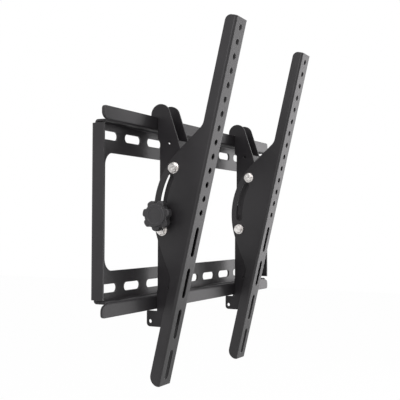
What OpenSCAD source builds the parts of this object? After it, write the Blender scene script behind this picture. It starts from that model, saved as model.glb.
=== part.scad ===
// Tilting wall mount for a flat television: a folded wall plate with two hook rails,
// two hook brackets that hang on the rails and two tilting arms that carry the screen.
// Y = 0 is the wall, -Y points into the room, +Z is up and X runs along the rails.

/* [Wall plate] */
// Width of the plate along the rails
plate_w = 436; // [400:1:520]
// Height over the free edges of both rails
plate_h = 222.8; // [215:1:240]
// Distance between the two shelves, measured inside
shelf_gap = 190.4; // [186:0.2:194]
// How far the rails stand off the wall
plate_depth = 16; // [14:0.5:19]
// Sheet thickness of the plate
plate_t = 2.5; // [2:0.1:3]
// Inner radius of the plate's folds
fold_r = 1; // [0.6:0.1:1.5]
// Length of the folded side flanges
flange_len = 186; // [160:1:188]
// Relief between a side flange and the end of a shelf
relief_w = 7; // [5:0.5:10]
// Corner radius at the free ends of the rails
rail_corner_r = 4; // [2:0.5:6]
// Width of the window
window_w = 391; // [300:1:396]
// Height of the window
window_h = 128; // [110:0.5:132]
// Corner radius of the window
window_r = 14; // [6:1:20]
// Number of screw slots in each row
slot_count = 9; // [5:2:9]
// Distance from slot to slot
slot_pitch = 47; // [42:0.1:47.5]
// Length of a screw slot
slot_len = 33.5; // [22:1:36]
// Height of a screw slot
slot_h = 9.5; // [6:0.5:10]
// Distance between the two rows of slots
slot_row_gap = 165.4; // [160:0.2:168]

/* [Tilting arms] */
// Length of an arm
arm_len = 431.5; // [430:1:470]
// Width of an arm's front face
arm_w = 29; // [27:0.5:34]
// Depth of an arm's side walls
arm_depth = 13.5; // [11:0.5:15]
// Sheet thickness of an arm
arm_t = 1.5; // [1.2:0.1:1.8]
// Radius at the upper back corners of an arm
arm_top_r = 7; // [3:0.5:9]
// Radius at the lower back corners of an arm
arm_bottom_r = 11; // [5:0.5:11]
// Round screen holes in an arm
hole_count = 14; // [8:1:14]
// Distance from hole to hole
hole_pitch = 16.5; // [14:0.1:16.6]
// Diameter of the screen holes and width of the screen slots
hole_d = 7; // [5:0.5:9]
// Distance from an arm's top to its first hole
hole_top = 10.8; // [9:0.2:14]
// Long screen slots in an arm
long_slot_count = 4; // [2:1:4]
// Distance from slot to slot along an arm
long_slot_pitch = 48.8; // [44:0.2:49]
// Length of a screen slot
long_slot_len = 35.4; // [24:0.2:38]
// Distance from an arm's bottom to its last slot
long_slot_end = 7.5; // [6:0.5:12]

/* [Tilt] */
// Distance of the tilt axis from the wall
axis_out = 106.5; // [105:0.5:112]
// Distance of an arm's front face behind the tilt axis
face_back = 38.4; // [36:0.2:40]
// Forward tilt as shown
tilt_rest = 13.25; // [8:0.1:14]
// Travel back from there
tilt_travel = 27; // [15:0.5:27.5]
// Radius of the arm's round hub about the tilt axis
hub_r = 94; // [93:0.5:96]
// Half the angle of the hub's round edge
hub_half = 35; // [30:1:36]
// Fillet where the hub runs into the arm's side wall
hub_fillet = 14; // [6:1:18]
// Radius of the guide bolts' arc
guide_r = 84.8; // [84:0.2:85.6]
// Half the angle between the two guide bolts of an arm
guide_half = 25.6; // [25:0.1:27]
// How far the middle between the guide bolts turns down from the hub's middle
guide_drop = 1.4; // [0:0.1:2]
// Radius of the knob's arc
knob_r = 82; // [80:0.1:83]
// Half the angle of the knob's slot
knob_slot_half = 16; // [15:0.5:16.5]
// Angle from the slot's lower end to the stud as shown
knob_end_gap = 0.3; // [0:0.1:1]

/* [Hook brackets] */
// Sheet thickness of a hook bracket
hook_t = 2; // [1.5:0.1:2.5]
// Free width on each side between a bracket and its arm
side_gap = 0.35; // [0.3:0.05:0.6]
// Where the left bracket hangs along the rails
left_x = -97; // [-190:1:-40]
// Where the right bracket hangs along the rails
right_x = 112; // [40:1:190]
// Radius of the rounded hook
hook_r = 12.4; // [11:0.2:14]
// Height of the hook's centre above the rail's edge
hook_rise = 3; // [2:0.2:5]
// Distance of the hook's centre in front of the rail
hook_out = 3.5; // [2:0.1:5]
// How far the hook reaches down behind the rail
hook_reach = 11.4; // [8:0.2:12]
// Free space between a hook and the rail
rail_gap = 0.3; // [0.2:0.05:0.6]
// Lean of the hook's front edge
hook_lean = 19.1; // [15:0.1:22]
// Depth of the bracket in front of the rail
hook_depth = 33.5; // [32:0.5:35]
// Free space between the bracket's web and the arm's web
web_gap = 1.5; // [1:0.1:2]
// Height of the web's upper end above the middle
web_top = 83; // [70:1:85]
// Depth of the web's lower end below the middle
web_bottom = 100; // [70:1:110]
// Set-back of the rear edge above the hub
upper_step = 3; // [2:0.2:4]
// Set-back of the rear edge below the hub
lower_step = 0.7; // [0.4:0.1:2]
// Gap between the lower rail's edge and the lower tab
tab_gap = 2.5; // [1.5:0.1:5]
// Height of the lower tab
tab_h = 18.4; // [14:0.2:22]
// Corner radius of the lower tab
tab_r = 4.5; // [2:0.5:6]
// Diameter of the locking hole in the lower tab
lock_hole_d = 4.5; // [3:0.5:6]
// Diameter of the two small tooling holes
tool_hole_d = 4; // [2:0.5:5]

/* [Guide bolts] */
// Diameter of a guide bolt
bolt_d = 6; // [5:0.5:6]
// Diameter of the bolt's flange
flange_d = 13.2; // [12:0.2:13.6]
// Thickness of the bolt's flange
flange_t = 1.3; // [1:0.1:1.8]
// Width across the flats of bolt and nut
hex_af = 10; // [9:0.5:10]
// Height of the bolt's hexagon
hex_h = 4.2; // [3:0.1:5]
// Height of the lock nut
nut_h = 5.4; // [4:0.2:5.6]
// How far a bolt stands out of its nut
bolt_end = 0.6; // [0.4:0.1:0.8]
// Outer diameter of the washer under the nut
washer_d = 12; // [11:0.5:13]
// Thickness of that washer
washer_t = 1.2; // [0.8:0.1:1.6]
// Outer diameter of the guide bush
bush_d = 7.2; // [7:0.1:7.4]
// Free space round a bolt inside its bush
bush_fit = 0.05; // [0.03:0.01:0.1]
// Free space round a bush inside its arc slot
slide_gap = 0.3; // [0.3:0.05:0.4]

/* [Knobs] */
// Diameter over the knob's lobes
knob_d = 36; // [32:0.5:38]
// Lobes round the knob
knob_lobes = 7; // [5:1:9]
// Radius of a lobe
lobe_r = 4.6; // [3.5:0.1:5]
// Thickness of the lobed rim
rim_t = 8.6; // [6:0.2:12]
// Diameter of the raised face
boss_d = 26; // [22:0.5:27]
// Height of the raised face
boss_h = 2; // [1:0.1:3]
// Length of the knob's neck
neck_len = 6.4; // [6:0.1:8]
// Diameter of the knob's neck
neck_d = 15.6; // [14:0.2:16]
// Diameter of the knob's stud
stud_d = 6; // [5:0.5:6]
// Width of the arc slot round the stud
knob_slot_w = 9; // [8.6:0.1:9.6]
// Outer diameter of the knob's washer
knob_washer_d = 16; // [14:0.5:16]
// Thickness of the knob's washer
knob_washer_t = 1.5; // [1:0.1:2]
// Width across the flats of the knob's nut
knob_nut_af = 10; // [9:0.5:10]
// Height of the knob's nut
knob_nut_h = 6; // [5:0.5:7]

/* [Hidden] */
$fn = 64;

eps = 0.01;
through = 60;
steel_black = [0.17, 0.17, 0.18];
zinc = [0.78, 0.77, 0.75];
nylon = [0.85, 0.85, 0.82];
knob_grey = [0.22, 0.22, 0.23];

// Folded sheet sizes that follow from the plate
bend_out = fold_r + plate_t;
shelf_z = shelf_gap / 2;
rail_z = plate_h / 2;
rail_front = -plate_depth;
rail_back = rail_front + plate_t;
face_half = plate_w / 2 - relief_w;

// Widths across one bracket
arm_half = arm_w / 2;
arm_in_half = arm_half - arm_t;
hook_half = arm_in_half - side_gap;
hook_in_half = hook_half - hook_t;

// The arm's own frame has the tilt axis at its origin
arm_half_len = arm_len / 2;
arm_back = face_back + arm_depth;
bush_slot_w = bush_d + 2 * slide_gap;
upper_tilt = tilt_travel - tilt_rest;

// The hub's straight shoulders touch its round edge and meet the arm's back edge
shoulder_z = hub_r / sin(hub_half) - arm_back / tan(hub_half);
fillet_y = arm_back + hub_fillet;
fillet_z = (hub_r + hub_fillet) / sin(hub_half) - fillet_y / tan(hub_half);

// Outline of the hook bracket
hook_y = rail_front - hook_out;
hook_z = rail_z + hook_rise;
hook_tail = hook_y + hook_r;
hook_face = rail_front - hook_depth;
lean_m = tan(hook_lean);
ear_y = hook_y - (hook_r - 2 * eps) * cos(hook_lean);
ear_z = hook_z + (hook_r - 2 * eps) * sin(hook_lean);
seat_y = rail_front - rail_gap;
upper_c = (face_back + arm_t + web_gap) / cos(upper_tilt) - axis_out;
lower_c = (face_back + arm_t + web_gap) / cos(tilt_rest) - axis_out;
ear_end_z = (ear_y - lean_m * ear_z - upper_c) / (tan(upper_tilt) - lean_m);
bend_up_z = (hook_face - upper_c) / tan(upper_tilt);
bend_down_z = (hook_face - lower_c) / tan(tilt_rest);
tab_top_z = -rail_z - tab_gap;
tab_bottom_z = tab_top_z - tab_h;
tab_back = -plate_t;
hook_hub_r = hub_r - 1;

// Where the knob's stud stands on its bracket
stud_angle = tilt_rest - knob_slot_half + knob_end_gap;
stud_y = -axis_out + knob_r * cos(stud_angle);
stud_z = knob_r * sin(stud_angle);

function front_at(z, c, a) = c + abs(z) * tan(a);

// Turns a drawing of Y and Z into a slab that is centred across X
module across(w, x = 0) {
    translate([x - w / 2, 0, 0])
        rotate([90, 0, 90])
            linear_extrude(w)
                children();
}

// Turns a drawing of X and Z into a slab that starts at y and runs towards +Y
module from_front(y, t) {
    translate([0, y + t, 0])
        rotate([90, 0, 0])
            linear_extrude(t)
                children();
}

// A quarter of a ring, from the inner radius out
module quarter_ring(inner, outer) {
    intersection() {
        difference() {
            circle(outer);
            circle(inner);
        }
        square(outer + 1);
    }
}

// What rounds off a corner that lies at the origin and fills the first quadrant
module corner_cut(r) {
    difference() {
        translate([-1, -1])
            square(r + 1);
        translate([r, r])
            circle(r);
    }
}

// A rectangle centred on the origin with round corners
module round_rect(w, h, r) {
    difference() {
        square([w, h], center = true);
        for (sx = [-1, 1], sy = [-1, 1])
            scale([sx, sy])
                translate([-w / 2, -h / 2])
                    corner_cut(r);
    }
}

// A slot with round ends along the first axis
module slot_2d(length, width) {
    square([length - width, width], center = true);
    for (s = [-1, 1])
        translate([s * (length - width) / 2, 0])
            circle(width / 2);
}

// A hexagonal prism along X that starts at the origin
module hexagon(af, h) {
    rotate([0, 90, 0])
        cylinder(d = af / cos(30), h = h, $fn = 6);
}

// A round rod along X that starts at the origin
module rod(d, h) {
    rotate([0, 90, 0])
        cylinder(d = d, h = h);
}

// An arc-shaped slot about the tilt axis, drawn in Y and Z
module arc_slot_2d(radius, width, from, to) {
    mid = (from + to) / 2;
    half = (to - from) / 2;
    reach = radius * 2;
    intersection() {
        difference() {
            circle(radius + width / 2, $fn = 180);
            circle(radius - width / 2, $fn = 180);
        }
        rotate(mid)
            polygon([[0, 0], [reach * cos(half), reach * sin(half)], [reach * cos(half), -reach * sin(half)]]);
    }
    // the round ends are a hair wider, so that they cross the arcs and don't just touch them
    for (a = [from, to])
        rotate(a)
            translate([radius, 0])
                circle(width / 2 + 2 * eps);
}

// One rail: shelf, fold and upright edge
module rail_2d() {
    translate([-bend_out, shelf_z + plate_t - bend_out])
        quarter_ring(fold_r, bend_out);
    translate([rail_front + bend_out, shelf_z])
        square([-rail_front - 2 * bend_out, plate_t]);
    translate([rail_front + bend_out, shelf_z + bend_out])
        rotate(180)
            quarter_ring(fold_r, bend_out);
    translate([rail_front, shelf_z + bend_out])
        square([plate_t, rail_z - shelf_z - bend_out - plate_t]);
}

// The rail's free edge with its rounded ends, wider than the shelf
module rail_edge_2d() {
    edge_z = shelf_z + plate_t;
    edge_h = rail_z - edge_z;
    difference() {
        translate([-plate_w / 2, edge_z])
            square([plate_w, edge_h]);
        for (s = [-1, 1])
            scale([s, 1]) {
                translate([-plate_w / 2, edge_z])
                    corner_cut(relief_w);
                translate([-plate_w / 2, rail_z])
                    scale([1, -1])
                        corner_cut(rail_corner_r);
            }
    }
}

module side_flange() {
    half = plate_w / 2;
    translate([0, 0, -flange_len / 2])
        linear_extrude(flange_len) {
            translate([face_half - 1, -plate_t])
                square([half - bend_out - face_half + 1, plate_t]);
            translate([half - bend_out, -bend_out])
                quarter_ring(fold_r, bend_out);
            translate([half - plate_t, rail_front])
                square([plate_t, plate_depth - bend_out]);
        }
}

module wall_plate() {
    color(steel_black)
        difference() {
            union() {
                across(2 * face_half) {
                    translate([-plate_t, -shelf_z + fold_r])
                        square([plate_t, 2 * (shelf_z - fold_r)]);
                    rail_2d();
                    scale([1, -1])
                        rail_2d();
                }
                from_front(rail_front, plate_t) {
                    rail_edge_2d();
                    scale([1, -1])
                        rail_edge_2d();
                }
                side_flange();
                mirror([1, 0, 0])
                    side_flange();
            }
            from_front(-through / 2, through)
                round_rect(window_w, window_h, window_r);
            for (k = [0:slot_count - 1], s = [-1, 1])
                translate([(k - (slot_count - 1) / 2) * slot_pitch, 0, s * slot_row_gap / 2])
                    from_front(-through / 2, through)
                        slot_2d(slot_len, slot_h);
        }
}

// Side view of a hook bracket in Y and Z
module hook_outline_2d() {
    translate([hook_y, hook_z])
        circle(hook_r);
    polygon([
        [ear_y, ear_z],
        [ear_y - lean_m * (ear_z - ear_end_z), ear_end_z],
        [hook_face, bend_up_z],
        [hook_face, -bend_down_z],
        [front_at(tab_bottom_z, lower_c, tilt_rest), tab_bottom_z],
        [seat_y + eps, tab_bottom_z],
        [seat_y + eps, tab_top_z],
        [seat_y, tab_top_z],
        [seat_y, -shelf_z + 2 * plate_t],
        [seat_y - lower_step, -shelf_z + 2 * plate_t + lower_step],
        [seat_y - lower_step, 0],
        [seat_y - upper_step, 0],
        [seat_y - upper_step, web_top],
        [seat_y, web_top + upper_step],
        [seat_y, hook_z],
        [hook_y, hook_z]
    ]);
    // tail behind the rail
    difference() {
        translate([rail_back + rail_gap, hook_z - hook_rise - hook_reach])
            square([hook_tail - rail_back - rail_gap, hook_reach + hook_rise]);
        translate([hook_tail, hook_z - hook_rise - hook_reach])
            scale([-1, 1])
                corner_cut(hook_r / 4);
    }
    // round edge behind the arc slots
    intersection() {
        translate([-axis_out, 0])
            circle(hook_hub_r, $fn = 180);
        translate([hook_face + hook_t, -hub_r / 2])
            square([hook_depth + plate_depth, hub_r]);
    }
    // lower tab under the rail
    difference() {
        translate([seat_y, tab_bottom_z])
            square([tab_back - seat_y, tab_h]);
        translate([tab_back, tab_bottom_z])
            scale([-1, 1])
                corner_cut(tab_r);
        translate([tab_back, tab_top_z])
            scale([-1, -1])
                corner_cut(tab_r / 3);
    }
}

module hook_2d() {
    difference() {
        hook_outline_2d();
        translate([seat_y, 0])
            square([plate_t + 2 * rail_gap, rail_z + rail_gap]);
        translate([-axis_out, 0]) {
            upper = tilt_rest - guide_drop + guide_half;
            lower = tilt_rest - guide_drop - guide_half;
            arc_slot_2d(guide_r, bush_slot_w, upper - tilt_travel, upper);
            arc_slot_2d(guide_r, bush_slot_w, lower - tilt_travel, lower);
        }
        translate([stud_y, stud_z])
            circle(stud_d / 2 + bush_fit);
        translate([hook_y - hook_r, web_top - tool_hole_d / 2])
            circle(tool_hole_d / 2);
        translate([hook_y - hook_r + lower_step, -shelf_z + 2 * tool_hole_d])
            circle(tool_hole_d / 2);
        translate([tab_back - tab_r, tab_bottom_z + tab_h / 3])
            circle(lock_hole_d / 2);
    }
}

module hook_bracket(x) {
    color(steel_black)
        translate([x, 0, 0])
            difference() {
                across(2 * hook_half)
                    hook_2d();
                // the hollow between the two side plates, behind the web
                across(2 * hook_in_half)
                    translate([hook_t, 0])
                        polygon([
                            [front_at(web_top, upper_c, upper_tilt), web_top],
                            [hook_face, bend_up_z],
                            [hook_face, -bend_down_z],
                            [front_at(web_bottom, lower_c, tilt_rest), -web_bottom],
                            [through, -web_bottom],
                            [through, web_top]
                        ]);
                across(2 * hook_in_half) {
                    translate([-axis_out, web_top - eps])
                        square([2 * axis_out, plate_h]);
                    translate([-axis_out, -web_bottom - plate_h])
                        square([2 * axis_out, plate_h + eps]);
                }
            }
}

// Puts its children into the frame of an arm as it stands tilted
module at_tilt(x) {
    translate([x, -axis_out, 0])
        rotate([tilt_rest, 0, 0])
            children();
}

// Side view of the hub in the arm's own frame
module hub_2d() {
    tip_y = (hub_r - 2 * eps) * cos(hub_half);
    tip_z = (hub_r - 2 * eps) * sin(hub_half);
    difference() {
        union() {
            intersection() {
                circle(hub_r, $fn = 180);
                translate([face_back + bend_in_arm(), -hub_r])
                    square([hub_r, 2 * hub_r]);
            }
            polygon([
                [face_back + bend_in_arm(), -fillet_z],
                [arm_back, -fillet_z],
                [arm_back, -shoulder_z],
                [tip_y, -tip_z],
                [tip_y, tip_z],
                [arm_back, shoulder_z],
                [arm_back, fillet_z],
                [face_back + bend_in_arm(), fillet_z]
            ]);
            for (s = [-1, 1])
                scale([1, s])
                    hub_fillet_2d();
        }
        arc_slot_2d(knob_r, knob_slot_w, -knob_slot_half, knob_slot_half);
        for (s = [-1, 1])
            rotate(s * guide_half - guide_drop)
                translate([guide_r, 0])
                    circle(bolt_d / 2 + slide_gap);
    }
}

// The arm's folds have the sheet's thickness as their inner radius
function bend_in_arm() = 2 * arm_t;

// Fills the inner corner between the arm's back edge and the hub's shoulder
module hub_fillet_2d() {
    touch_y = fillet_y - hub_fillet * cos(hub_half);
    touch_z = fillet_z - hub_fillet * sin(hub_half);
    difference() {
        polygon([[arm_back - eps, shoulder_z - eps], [touch_y, touch_z], [fillet_y, fillet_z], [arm_back - eps, fillet_z]]);
        translate([fillet_y, fillet_z])
            circle(hub_fillet + 2 * eps);
    }
}

// Section of the arm's folded sheet in X and Y
module arm_section_2d() {
    inner = arm_t;
    outer = 2 * arm_t;
    translate([-arm_half + outer, face_back])
        square([arm_w - 2 * outer, arm_t]);
    for (s = [-1, 1])
        scale([s, 1]) {
            translate([arm_half - outer, face_back + outer])
                scale([1, -1])
                    quarter_ring(inner, outer);
            translate([arm_half - arm_t, face_back + outer])
                square([arm_t, arm_depth - outer]);
        }
}

module arm_end_cut(r) {
    across(arm_w + 2)
        translate([arm_back, arm_half_len])
            scale([-1, -1])
                corner_cut(r);
}

module tilt_arm(x) {
    last_slot = -arm_half_len + long_slot_end + long_slot_len / 2;
    color(steel_black)
        at_tilt(x)
            difference() {
                union() {
                    translate([0, 0, -arm_half_len])
                        linear_extrude(arm_len)
                            arm_section_2d();
                    for (s = [-1, 1])
                        across(arm_t, s * (arm_half - arm_t / 2))
                            hub_2d();
                }
                arm_end_cut(arm_top_r);
                mirror([0, 0, 1])
                    arm_end_cut(arm_bottom_r);
                for (k = [0:hole_count - 1])
                    translate([0, face_back - 1, arm_half_len - hole_top - k * hole_pitch])
                        rotate([-90, 0, 0])
                            cylinder(d = hole_d, h = arm_t + 2);
                for (k = [0:long_slot_count - 1])
                    translate([0, 0, last_slot + k * long_slot_pitch])
                        from_front(face_back - 1, arm_t + 2)
                            rotate(90)
                                slot_2d(long_slot_len, hole_d);
            }
}

// Puts its children on the axis of a guide bolt; up is 1 above the hub's middle and -1 below
module at_guide(x, up) {
    at_tilt(x)
        rotate([up * guide_half - guide_drop, 0, 0])
            translate([0, guide_r, 0])
                rotate([guide_drop - up * guide_half, 0, 0])
                    children();
}

module guide_bolt(x, up) {
    shank_end = arm_half + washer_t + nut_h + bolt_end;
    color(zinc)
        at_guide(x, up) {
            translate([-arm_half - flange_t, 0, 0])
                rod(flange_d, flange_t);
            intersection() {
                translate([-arm_half - flange_t - hex_h, 0, 0])
                    hexagon(hex_af, hex_h + eps);
                translate([-arm_half - flange_t - hex_h, 0, 0])
                    rotate([0, 90, 0])
                        cylinder(d1 = hex_af * 0.96, d2 = hex_af * 0.96 + 2 * hex_h, h = hex_h + 2 * eps);
            }
            translate([-arm_half - eps, 0, 0])
                rod(bolt_d, arm_half + shank_end + eps);
        }
}

module guide_nut(x, up) {
    color(zinc)
        at_guide(x, up)
            translate([arm_half + washer_t, 0, 0])
                difference() {
                    intersection() {
                        hexagon(hex_af, nut_h);
                        rotate([0, 90, 0])
                            cylinder(d1 = hex_af * 0.96 + 2 * nut_h, d2 = hex_af * 0.96, h = nut_h);
                    }
                    translate([-1, 0, 0])
                        rod(bolt_d + 2 * bush_fit, nut_h + 2);
                }
}

module guide_bush(x, up) {
    length = 2 * (arm_in_half - side_gap / 2);
    color(nylon)
        at_guide(x, up)
            translate([-length / 2, 0, 0])
                difference() {
                    rod(bush_d, length);
                    translate([-1, 0, 0])
                        rod(bolt_d + 2 * bush_fit, length + 2);
                }
}

module guide_washers(x) {
    color(zinc)
        for (up = [-1, 1])
            at_guide(x, up)
                translate([arm_half, 0, 0])
                    difference() {
                        rod(washer_d, washer_t);
                        translate([-1, 0, 0])
                            rod(bolt_d + 2 * slide_gap, washer_t + 2);
                    }
}

// Puts its children on the stud's axis; side is the side of the bracket that the knob is on
module at_stud(x, side) {
    translate([x, stud_y, stud_z])
        scale([side, 1, 1])
            children();
}

// The lobed outline of the knob
module knob_2d() {
    lobe_at = knob_d / 2 - lobe_r;
    circle(lobe_at + lobe_r / 5);
    for (k = [0:knob_lobes - 1])
        rotate(k * 360 / knob_lobes)
            translate([lobe_at, 0])
                circle(lobe_r);
}

module tilt_knob(x, side) {
    washer_out = arm_half + side_gap + knob_washer_t;
    rim_out = washer_out + neck_len;
    face_out = rim_out + rim_t + boss_h;
    soft = rim_t / 4;
    color(knob_grey)
        at_stud(x, side)
            difference() {
                union() {
                    translate([washer_out, 0, 0])
                        rod(neck_d, neck_len + eps);
                    intersection() {
                        translate([rim_out, 0, 0])
                            rotate([0, 90, 0])
                                linear_extrude(rim_t)
                                    knob_2d();
                        // a round blank with soft edges trims the lobes
                        translate([rim_out, 0, 0])
                            rotate([0, 90, 0])
                                rotate_extrude()
                                    difference() {
                                        square([knob_d / 2, rim_t]);
                                        translate([knob_d / 2, 0])
                                            scale([-1, 1])
                                                corner_cut(soft);
                                        translate([knob_d / 2, rim_t])
                                            scale([-1, -1])
                                                corner_cut(soft);
                                    }
                    }
                    translate([rim_out + rim_t - eps, 0, 0])
                        rotate([0, 90, 0])
                            rotate_extrude()
                                difference() {
                                    square([boss_d / 2, boss_h + eps]);
                                    translate([boss_d / 2, boss_h + eps])
                                        scale([-1, -1])
                                            corner_cut(boss_h / 2);
                                }
                }
                translate([washer_out - 1, 0, 0])
                    rod(stud_d + 2 * eps, neck_len + rim_t / 2 + 1);
                // shallow dish in the knob's face
                translate([face_out - boss_h / 4, 0, 0])
                    rod(boss_d * 0.72, boss_h);
            }
}

module knob_stud(x, side) {
    inner_end = hook_in_half - knob_nut_h - 1;
    outer_end = arm_half + side_gap + knob_washer_t + neck_len + rim_t / 2;
    color(zinc)
        at_stud(x, side)
            translate([inner_end, 0, 0])
                rod(stud_d, outer_end - inner_end);
}

module knob_washer(x, side) {
    color(nylon)
        at_stud(x, side)
            translate([arm_half + side_gap, 0, 0])
                difference() {
                    rod(knob_washer_d, knob_washer_t);
                    translate([-1, 0, 0])
                        rod(stud_d + 2 * bush_fit, knob_washer_t + 2);
                }
}

module knob_nut(x, side) {
    color(zinc)
        at_stud(x, side)
            translate([hook_in_half - knob_nut_h, 0, 0])
                difference() {
                    hexagon(knob_nut_af, knob_nut_h);
                    translate([-1, 0, 0])
                        rod(stud_d + 2 * bush_fit, knob_nut_h + 2);
                }
}

wall_plate();
hook_bracket(left_x);  // hook_bracket_left
hook_bracket(right_x);  // hook_bracket_right
tilt_arm(left_x);  // tilt_arm_left
tilt_arm(right_x);  // tilt_arm_right
guide_bolt(left_x, 1);  // guide_bolt_upper_left
guide_bolt(left_x, -1);  // guide_bolt_lower_left
guide_bolt(right_x, 1);  // guide_bolt_upper_right
guide_bolt(right_x, -1);  // guide_bolt_lower_right
guide_nut(left_x, 1);  // guide_nut_upper_left
guide_nut(left_x, -1);  // guide_nut_lower_left
guide_nut(right_x, 1);  // guide_nut_upper_right
guide_nut(right_x, -1);  // guide_nut_lower_right
guide_bush(left_x, 1);  // guide_bush_upper_left
guide_bush(left_x, -1);  // guide_bush_lower_left
guide_bush(right_x, 1);  // guide_bush_upper_right
guide_bush(right_x, -1);  // guide_bush_lower_right
guide_washers(left_x);  // guide_washers_left
guide_washers(right_x);  // guide_washers_right
tilt_knob(left_x, -1);  // tilt_knob_left
tilt_knob(right_x, 1);  // tilt_knob_right
knob_stud(left_x, -1);  // knob_stud_left
knob_stud(right_x, 1);  // knob_stud_right
knob_washer(left_x, -1);  // knob_washer_left
knob_washer(right_x, 1);  // knob_washer_right
knob_nut(left_x, -1);  // knob_nut_left
knob_nut(right_x, 1);  // knob_nut_right
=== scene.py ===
import math

import bmesh
import bpy
from mathutils import Matrix, Vector


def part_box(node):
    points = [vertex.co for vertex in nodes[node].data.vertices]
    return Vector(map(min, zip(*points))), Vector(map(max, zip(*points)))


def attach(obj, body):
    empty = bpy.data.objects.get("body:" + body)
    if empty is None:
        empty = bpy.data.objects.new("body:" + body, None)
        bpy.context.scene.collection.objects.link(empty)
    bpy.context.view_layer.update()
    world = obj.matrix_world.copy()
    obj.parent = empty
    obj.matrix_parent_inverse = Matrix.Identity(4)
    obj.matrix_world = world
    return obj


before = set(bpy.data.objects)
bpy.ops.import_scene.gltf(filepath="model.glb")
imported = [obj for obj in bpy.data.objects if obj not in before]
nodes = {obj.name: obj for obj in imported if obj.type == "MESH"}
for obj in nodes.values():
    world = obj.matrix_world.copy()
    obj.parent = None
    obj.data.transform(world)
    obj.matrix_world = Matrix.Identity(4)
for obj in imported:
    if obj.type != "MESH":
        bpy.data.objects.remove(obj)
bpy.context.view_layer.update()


# One output of a shader node, so that shader maths reads like maths
class Wire:
    def __init__(self, tree, socket):
        self.tree = tree
        self.socket = socket

    def math(self, operation, *others):
        node = self.tree.nodes.new("ShaderNodeMath")
        node.operation = operation
        for place, value in enumerate((self,) + others):
            plug(self.tree, node.inputs[place], value)
        return Wire(self.tree, node.outputs[0])

    def flipped(self, operation, other):
        node = self.tree.nodes.new("ShaderNodeMath")
        node.operation = operation
        plug(self.tree, node.inputs[0], other)
        plug(self.tree, node.inputs[1], self)
        return Wire(self.tree, node.outputs[0])

    def __add__(self, other):
        return self.math("ADD", other)

    def __radd__(self, other):
        return self.flipped("ADD", other)

    def __sub__(self, other):
        return self.math("SUBTRACT", other)

    def __rsub__(self, other):
        return self.flipped("SUBTRACT", other)

    def __mul__(self, other):
        return self.math("MULTIPLY", other)

    def __rmul__(self, other):
        return self.flipped("MULTIPLY", other)

    def __truediv__(self, other):
        return self.math("DIVIDE", other)

    def __rtruediv__(self, other):
        return self.flipped("DIVIDE", other)

    def __lt__(self, other):
        return self.math("LESS_THAN", other)

    def __gt__(self, other):
        return self.math("GREATER_THAN", other)

    def power(self, other):
        return self.math("POWER", other)

    def ramp(self, low, high, start=0.0, end=1.0):
        node = self.tree.nodes.new("ShaderNodeMapRange")
        for place, value in enumerate((self, low, high, start, end)):
            plug(self.tree, node.inputs[place], value)
        return Wire(self.tree, node.outputs[0])


def plug(tree, target, value):  # joins a wire, or sets a constant, on a node's input
    if isinstance(value, Wire):
        tree.links.new(value.socket, target)
    else:
        target.default_value = value


# A node tree, with one way to add any node: its type, its settings, then its sockets by name or place
class Graph:
    def __init__(self, tree):
        self.tree = tree

    def node(self, kind, output=0, settings=None, sockets=None):
        node = self.tree.nodes.new(kind)
        for label, value in (settings or {}).items():
            setattr(node, label, value)
        for key, value in (sockets or {}).items():
            plug(self.tree, node.inputs[key], value)
        return Wire(self.tree, node.outputs[output])

    def mixColour(self, share, first, second):
        return self.node("ShaderNodeMix", 2, {"data_type": "RGBA"}, {0: share, 6: first, 7: second})


# A material with a principled shader, its grain and its softened edges
class Finish(Graph):
    def __init__(self, name, constants):
        self.material = bpy.data.materials.new(name)
        self.material.use_nodes = True
        super().__init__(self.material.node_tree)
        self.shader = self.tree.nodes["Principled BSDF"]
        for label, value in constants.items():
            self.shader.inputs[label].default_value = value
        self.place = self.node("ShaderNodeTexCoord", "Object")

    def noise(self, scale, detail=2.0, roughness=0.5):
        return self.node("ShaderNodeTexNoise", "Fac", None,
                         {"Vector": self.place, "Scale": scale, "Detail": detail, "Roughness": roughness})

    # The rounded normal, and a mask that is 0 on flat ground and 1 where the two normals are wornAt apart
    def edges(self, radius, wornAt=0.25):
        soft = self.node("ShaderNodeBevel", "Normal", {"samples": 6}, {"Radius": radius})
        flat = self.node("ShaderNodeNewGeometry", "Normal")
        alike = self.node("ShaderNodeVectorMath", "Value", {"operation": "DOT_PRODUCT"}, {0: soft, 1: flat})
        return soft, (1.0 - alike).ramp(0.0, wornAt)

    def bump(self, height, strength, distance, normal):
        return self.node("ShaderNodeBump", "Normal", None,
                         {"Height": height, "Strength": strength, "Distance": distance, "Normal": normal})

    def wear(self, sockets):
        for label, value in sockets.items():
            plug(self.tree, self.shader.inputs[label], value)
        return self


powderCoat = {
    "roughness": 0.34, "edgeRadius": 0.0007,
    "grainScale": 2600.0, "grainBump": 0.02, "peelScale": 420.0, "peelBump": 0.04, "bumpDepth": 0.0002,
    "cloudScale": 14.0, "cloudFrom": 0.35, "cloudTo": 0.65,
    "scuffScale": 60.0, "scuffDetail": 6.0, "scuffSharp": 0.7, "scuffFrom": 0.62, "scuffTo": 0.72,
    "edgeWear": 0.55, "scuffWear": 0.05,
    "cloudRough": 0.08, "grainRough": 0.08, "scuffRough": 0.05, "edgeRough": 0.05,
    "dark": (0.0125, 0.0115, 0.0128, 1), "light": (0.0205, 0.0190, 0.0208, 1),
    "rubbed": (0.05, 0.048, 0.05, 1),
}


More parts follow.
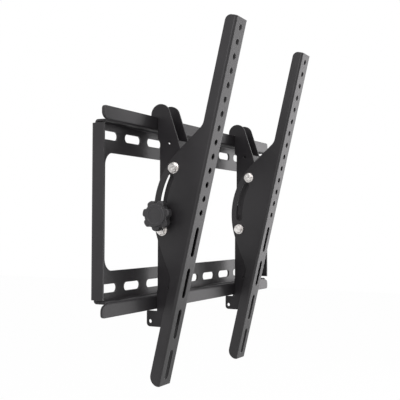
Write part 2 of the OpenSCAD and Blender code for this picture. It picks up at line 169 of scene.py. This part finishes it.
# Black satin powder coat: fine grain on a faint orange peel, paler on edges and scuffs
def makePowderCoat(name, shine):
    coat = powderCoat
    finish = Finish(name, {"Metallic": 0.0, "IOR": 1.55, "Specular IOR Level": shine})
    soft, edge = finish.edges(coat["edgeRadius"])
    cloud = finish.noise(coat["cloudScale"], 3.0)
    peel = finish.noise(coat["peelScale"], 2.0)
    grain = finish.noise(coat["grainScale"], 1.0)
    scratches = finish.noise(coat["scuffScale"], coat["scuffDetail"], coat["scuffSharp"])
    scuff = scratches.ramp(coat["scuffFrom"], coat["scuffTo"])
    base = finish.mixColour(cloud.ramp(coat["cloudFrom"], coat["cloudTo"]), coat["dark"], coat["light"])
    wear = edge * coat["edgeWear"] + scuff * coat["scuffWear"]
    rubbed = finish.mixColour(wear, base, coat["rubbed"])
    rough = coat["roughness"] + cloud * coat["cloudRough"] + grain * coat["grainRough"]
    rough = rough + scuff * coat["scuffRough"] - edge * coat["edgeRough"]
    coarse = finish.bump(peel, coat["peelBump"], coat["bumpDepth"], soft)
    fine = finish.bump(grain, coat["grainBump"], coat["bumpDepth"], coarse)
    return finish.wear({"Base Color": rubbed, "Roughness": rough, "Normal": fine})


zincPlate = {
    "pitch": 0.001, "shankRadius": 0.0031, "threadBump": 0.9, "threadDepth": 0.0005,
    "patchScale": 300.0, "patchFrom": 0.35, "patchTo": 0.75, "ringScale": 2400.0, "ringShare": 0.4,
    "skinBump": 0.06, "skinDepth": 0.0001,
    "roughness": 0.2, "patchRough": 0.16, "edgeRough": 0.04, "edgeRadius": 0.0004,
    "light": (0.90, 0.875, 0.855, 1), "dull": (0.50, 0.475, 0.46, 1),
}


# Bright zinc with turning rings. axisY and axisZ say where the axis crosses, so that the shank gets a thread
def makeZinc(name, axisY, axisZ):
    plate = zincPlate
    finish = Finish(name, {"Metallic": 1.0})
    soft, edge = finish.edges(plate["edgeRadius"])
    x, y, z = (finish.node("ShaderNodeSeparateXYZ", letter, None, {0: finish.place}) for letter in "XYZ")
    y = y - axisY
    z = z - axisZ
    reach = (y * y + z * z).power(0.5)
    turn = z.math("ARCTAN2", y) / (2 * math.pi)
    thread = (x / plate["pitch"] + turn).math("PINGPONG", 0.5) * 2.0 * (reach < plate["shankRadius"])
    patch = finish.noise(plate["patchScale"], 4.0)
    ring = finish.node("ShaderNodeTexNoise", "Fac", {"noise_dimensions": "1D"},
                       {"W": reach, "Scale": plate["ringScale"], "Detail": 2.0})
    colour = finish.mixColour(patch.ramp(plate["patchFrom"], plate["patchTo"]), plate["light"], plate["dull"])
    cut = finish.bump(thread, plate["threadBump"], plate["threadDepth"], soft)
    skin = finish.bump(patch + ring * plate["ringShare"], plate["skinBump"], plate["skinDepth"], cut)
    rough = plate["roughness"] + patch * plate["patchRough"] - edge * plate["edgeRough"]
    return finish.wear({"Base Color": colour, "Roughness": rough, "Normal": skin})


naturalNylon = {
    "mottleScale": 220.0, "roughness": 0.4, "mottleRough": 0.15, "edgeRough": 0.05, "edgeRadius": 0.0003,
    "bump": 0.1, "bumpDepth": 0.0001,
    "dark": (0.74, 0.73, 0.68, 1), "light": (0.82, 0.81, 0.77, 1),
}


# Pale nylon, a little mottled and slightly see-through
def makeNylon():
    look = naturalNylon
    finish = Finish("naturalNylon", {"IOR": 1.53, "Subsurface Weight": 0.15, "Subsurface Scale": 0.002})
    soft, edge = finish.edges(look["edgeRadius"])
    mottle = finish.noise(look["mottleScale"], 3.0)
    colour = finish.mixColour(mottle, look["dark"], look["light"])
    skin = finish.bump(mottle, look["bump"], look["bumpDepth"], soft)
    rough = look["roughness"] + mottle * look["mottleRough"] - edge * look["edgeRough"]
    return finish.wear({"Base Color": colour, "Roughness": rough, "Normal": skin})


knobPlastic = {
    "sparkScale": 3400.0, "cloudScale": 70.0, "edgeWear": 0.7, "edgeRadius": 0.0008,
    "roughness": 0.42, "sparkRough": 0.12, "edgeRough": 0.06, "bump": 0.12, "bumpDepth": 0.0002,
    "dark": (0.024, 0.023, 0.025, 1), "light": (0.036, 0.035, 0.037, 1), "rubbed": (0.11, 0.11, 0.112, 1),
}


# Moulded black plastic with a spark-eroded grain
def makeKnobPlastic():
    look = knobPlastic
    finish = Finish("knobPlastic", {"IOR": 1.5})
    soft, edge = finish.edges(look["edgeRadius"])
    spark = finish.noise(look["sparkScale"], 1.0)
    cloud = finish.noise(look["cloudScale"], 3.0)
    body = finish.mixColour(cloud, look["dark"], look["light"])
    rubbed = finish.mixColour(edge * look["edgeWear"], body, look["rubbed"])
    skin = finish.bump(spark, look["bump"], look["bumpDepth"], soft)
    rough = look["roughness"] + spark * look["sparkRough"] - edge * look["edgeRough"]
    return finish.wear({"Base Color": rubbed, "Roughness": rough, "Normal": skin})


# Dresses a node or a piece that is already there
def dress(thing, finish):
    thing.data.materials.clear()
    thing.data.materials.append(finish.material)


# Smooth on curved faces and crisp where two faces meet at an angle
def crisp(thing, degrees=32):
    for face in thing.data.polygons:
        face.use_smooth = True
    thing.data.set_sharp_from_angle(angle=math.radians(degrees))


coatShine = {"satin": 0.36, "hookShade": 0.2}  # the hook brackets get a less shiny copy of the coat: painted shade for the shadow and dark reflections they take near the wall
black = makePowderCoat("satinPowderCoat", coatShine["satin"])
shadedHookCoat = makePowderCoat("hookShadePowderCoat", coatShine["hookShade"])
nylon = makeNylon()
knobBlack = makeKnobPlastic()
print("finishes made")

farOff = 10.0  # an axis out here leaves a washer without thread
sides = ("left", "right")
for name, thing in nodes.items():
    if name.startswith("hook_bracket"):
        # the coat copy with painted shade, dimmer than the arms
        dress(thing, shadedHookCoat)
    elif name.startswith(("wall_plate", "tilt_arm")):
        dress(thing, black)
    elif name.startswith("tilt_knob"):
        dress(thing, knobBlack)
    elif name.startswith(("guide_bush", "knob_washer")):
        dress(thing, nylon)
    elif name.startswith("guide_washers"):
        dress(thing, makeZinc(name + "Zinc", farOff, farOff))
    else:
        low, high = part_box(name)
        dress(thing, makeZinc(name + "Zinc", (low[1] + high[1]) / 2, (low[2] + high[2]) / 2))
print("CAD nodes dressed:", len(nodes))


# Links a mesh that was built here in bmesh as an object
def linkMesh(name, mesh):
    data = bpy.data.meshes.new(name)
    mesh.to_mesh(data)
    mesh.free()
    thing = bpy.data.objects.new(name, data)
    bpy.context.collection.objects.link(thing)
    return thing


# The same for a closed piece of the object, with its faces turned outwards
def meshPiece(name, mesh):
    bmesh.ops.recalc_face_normals(mesh, faces=mesh.faces)
    thing = linkMesh(name, mesh)
    crisp(thing)
    return thing


# A ring round an axis along X, from (x, radius) points that go once round its section
def turnedRing(name, centre, section, around=48):
    mesh = bmesh.new()
    rows = []
    for step in range(around):
        angle = 2 * math.pi * step / around
        y = math.cos(angle)
        z = math.sin(angle)
        places = [(centre[0] + x, centre[1] + r * y, centre[2] + r * z) for x, r in section]
        rows.append([mesh.verts.new(place) for place in places])
    for step, row in enumerate(rows):
        after = rows[(step + 1) % around]
        for place in range(len(section)):
            onward = (place + 1) % len(section)
            mesh.faces.new((row[place], row[onward], after[onward], after[place]))
    return meshPiece(name, mesh)


lockCollar = {"inner": 0.00306, "outer": 0.0043, "proud": 0.00035, "lip": 0.00012, "seat": 0.00003}


# The pale ring in the mouth of a lock nut
def makeLockCollar(side, level):
    low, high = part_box(f"guide_nut_{level}_{side}")
    centre = (high[0], (low[1] + high[1]) / 2, (low[2] + high[2]) / 2)
    inner, outer, proud, lip, seat = (lockCollar[key] for key in ("inner", "outer", "proud", "lip", "seat"))
    section = [(seat, inner), (proud - lip, inner), (proud, inner + lip), (proud, outer - 2 * lip),
               (proud - lip, outer - lip / 2), (seat, outer)]
    ring = turnedRing(f"lockCollar_{level}_{side}", centre, section)
    dress(ring, nylon)
    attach(ring, f"tilt_{side}")


for side in sides:
    for level in ("upper", "lower"):
        makeLockCollar(side, level)
print("lock nut collars made")

bracketEdge = {  # the tilt axis, the radii about it, and the angles where the edge begins and ends
    "axisY": -0.1065, "axisZ": 0.0, "inner": 0.0899, "outer": 0.0975, "low": -23.3, "high": 26.5,
    "sheet": 0.002, "inset": 0.00002, "steps": 40,
}


# The round back edge of a bracket's right cheek, let into the cheek's own thickness
def makeBracketEdge(side):
    size = bracketEdge
    sweep = size["high"] - size["low"]
    angles = [math.radians(size["low"] + sweep * step / size["steps"]) for step in range(size["steps"] + 1)]
    outline = [(size["outer"], angle) for angle in angles]
    outline += [(size["inner"], angle) for angle in reversed(angles)]
    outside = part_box(f"hook_bracket_{side}")[1][0]
    faces = [outside - size["sheet"] + size["inset"], outside - size["inset"]]
    mesh = bmesh.new()
    rows = [[mesh.verts.new((x, size["axisY"] + r * math.cos(angle), size["axisZ"] + r * math.sin(angle)))
             for r, angle in outline] for x in faces]
    last = len(outline) - 1
    for step in range(size["steps"]):  # each cheek face as a strip of quads between the two arcs
        for row in rows:
            mesh.faces.new((row[step], row[step + 1], row[last - step - 1], row[last - step]))
    for place in range(len(outline)):
        onward = (place + 1) % len(outline)
        mesh.faces.new((rows[0][place], rows[0][onward], rows[1][onward], rows[1][place]))
    edge = meshPiece(f"bracketEdge_{side}", mesh)
    # the hook brackets' coat copy, with its painted shade
    dress(edge, shadedHookCoat)
    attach(edge, f"hanger_{side}")


for side in sides:
    makeBracketEdge(side)
print("bracket edges made")

studio = {"lens": 68.5035, "sensor": 36.0, "place": (-0.8685, -0.4758, -0.0125), "yaw": 62.0,
          "pitch": 1.775, "roll": 0.22}
camera = bpy.data.objects.new("camera", bpy.data.cameras.new("camera"))
bpy.context.collection.objects.link(camera)
camera.data.sensor_width = studio["sensor"]
camera.data.lens = studio["lens"]
yaw = Matrix.Rotation(math.radians(-studio["yaw"]), 4, "Z")
pitch = Matrix.Rotation(math.radians(90 + studio["pitch"]), 4, "X")
roll = Matrix.Rotation(math.radians(studio["roll"]), 4, "Z")
camera.matrix_world = Matrix.Translation(studio["place"]) @ yaw @ pitch @ roll
bpy.context.scene.camera = camera

lampTint = (1.0, 0.975, 0.995)
lampAim = Vector((0, -0.05, 0))
lamps = {
    "rightSoftbox": {"place": (1.4, -0.55, -0.02), "size": (0.9, 1.2), "power": 8.0},
    "leftSoftbox": {"place": (-1.6, -0.5, 0.9), "size": (1.2, 1.2), "power": 17.0},
    "topPanel": {"place": (0.2, -0.5, 1.7), "size": (1.8, 1.2), "power": 14.0},
}
for name, lamp in lamps.items():
    light = bpy.data.lights.new(name, "AREA")
    light.shape = "RECTANGLE"
    light.size, light.size_y = lamp["size"]
    light.energy = lamp["power"]
    light.color = lampTint
    holder = bpy.data.objects.new(name, light)
    bpy.context.collection.objects.link(holder)
    holder.location = lamp["place"]
    holder.rotation_euler = (lampAim - Vector(lamp["place"])).to_track_quat("-Z", "Y").to_euler()
    holder.visible_camera = False


# 1 on the rays that show the background: straight to the camera, in a gloss or through glass
def shownRays(graph):
    kinds = ("Is Camera Ray", "Is Glossy Ray", "Is Transmission Ray")
    straight, gloss, glass = (graph.node("ShaderNodeLightPath", kind) for kind in kinds)
    return straight.math("MAXIMUM", gloss).math("MAXIMUM", glass)


# White where it shows, and as soft light on the object a dim room in front of a bright wall
roomLight = {"front": 0.16, "wall": 0.95, "from": -0.1, "to": 0.45, "tint": (1.0, 0.985, 0.99),
             "shown": (1, 1, 1, 1)}
world = bpy.data.worlds.new("studioWhite")
bpy.context.scene.world = world
world.use_nodes = True
room = Graph(world.node_tree)
heading = room.node("ShaderNodeTexCoord", "Generated")
towards = room.node("ShaderNodeSeparateXYZ", "Y", None, {0: heading})
glow = towards.ramp(roomLight["from"], roomLight["to"], roomLight["front"], roomLight["wall"])
tinted = room.node("ShaderNodeCombineColor", "Color", None,
                   {place: glow * share for place, share in enumerate(roomLight["tint"])})
backdrop = room.mixColour(shownRays(room), tinted, roomLight["shown"])
plug(room.tree, room.tree.nodes["Background"].inputs["Color"], backdrop)

# A pale floor below the arms, nearly white where it shows, with a trace of the object's shadow
floorSize = {"half": 4.0, "height": -0.45, "white": (0.86, 0.86, 0.86, 1), "shown": 0.98}
floorMesh = bmesh.new()
corners = [floorMesh.verts.new((x * floorSize["half"], y * floorSize["half"], floorSize["height"]))
           for x, y in ((-1, -1), (1, -1), (1, 1), (-1, 1))]
floorMesh.faces.new(corners)
floor = linkMesh("paleFloor", floorMesh)
paper = Finish("paleFloorPaper", {"Base Color": floorSize["white"], "Roughness": 0.8})
shine = paper.node("ShaderNodeEmission", 0, None, {"Color": (1, 1, 1, 1), "Strength": 1.0})
lit = Wire(paper.tree, paper.shader.outputs[0])
share = shownRays(paper) * floorSize["shown"]
both = paper.node("ShaderNodeMixShader", 0, None, {0: share, 1: lit, 2: shine})
plug(paper.tree, paper.tree.nodes["Material Output"].inputs["Surface"], both)
dress(floor, paper)
bpy.context.scene.view_settings.view_transform = "Standard"
print("camera, lamps and background set")
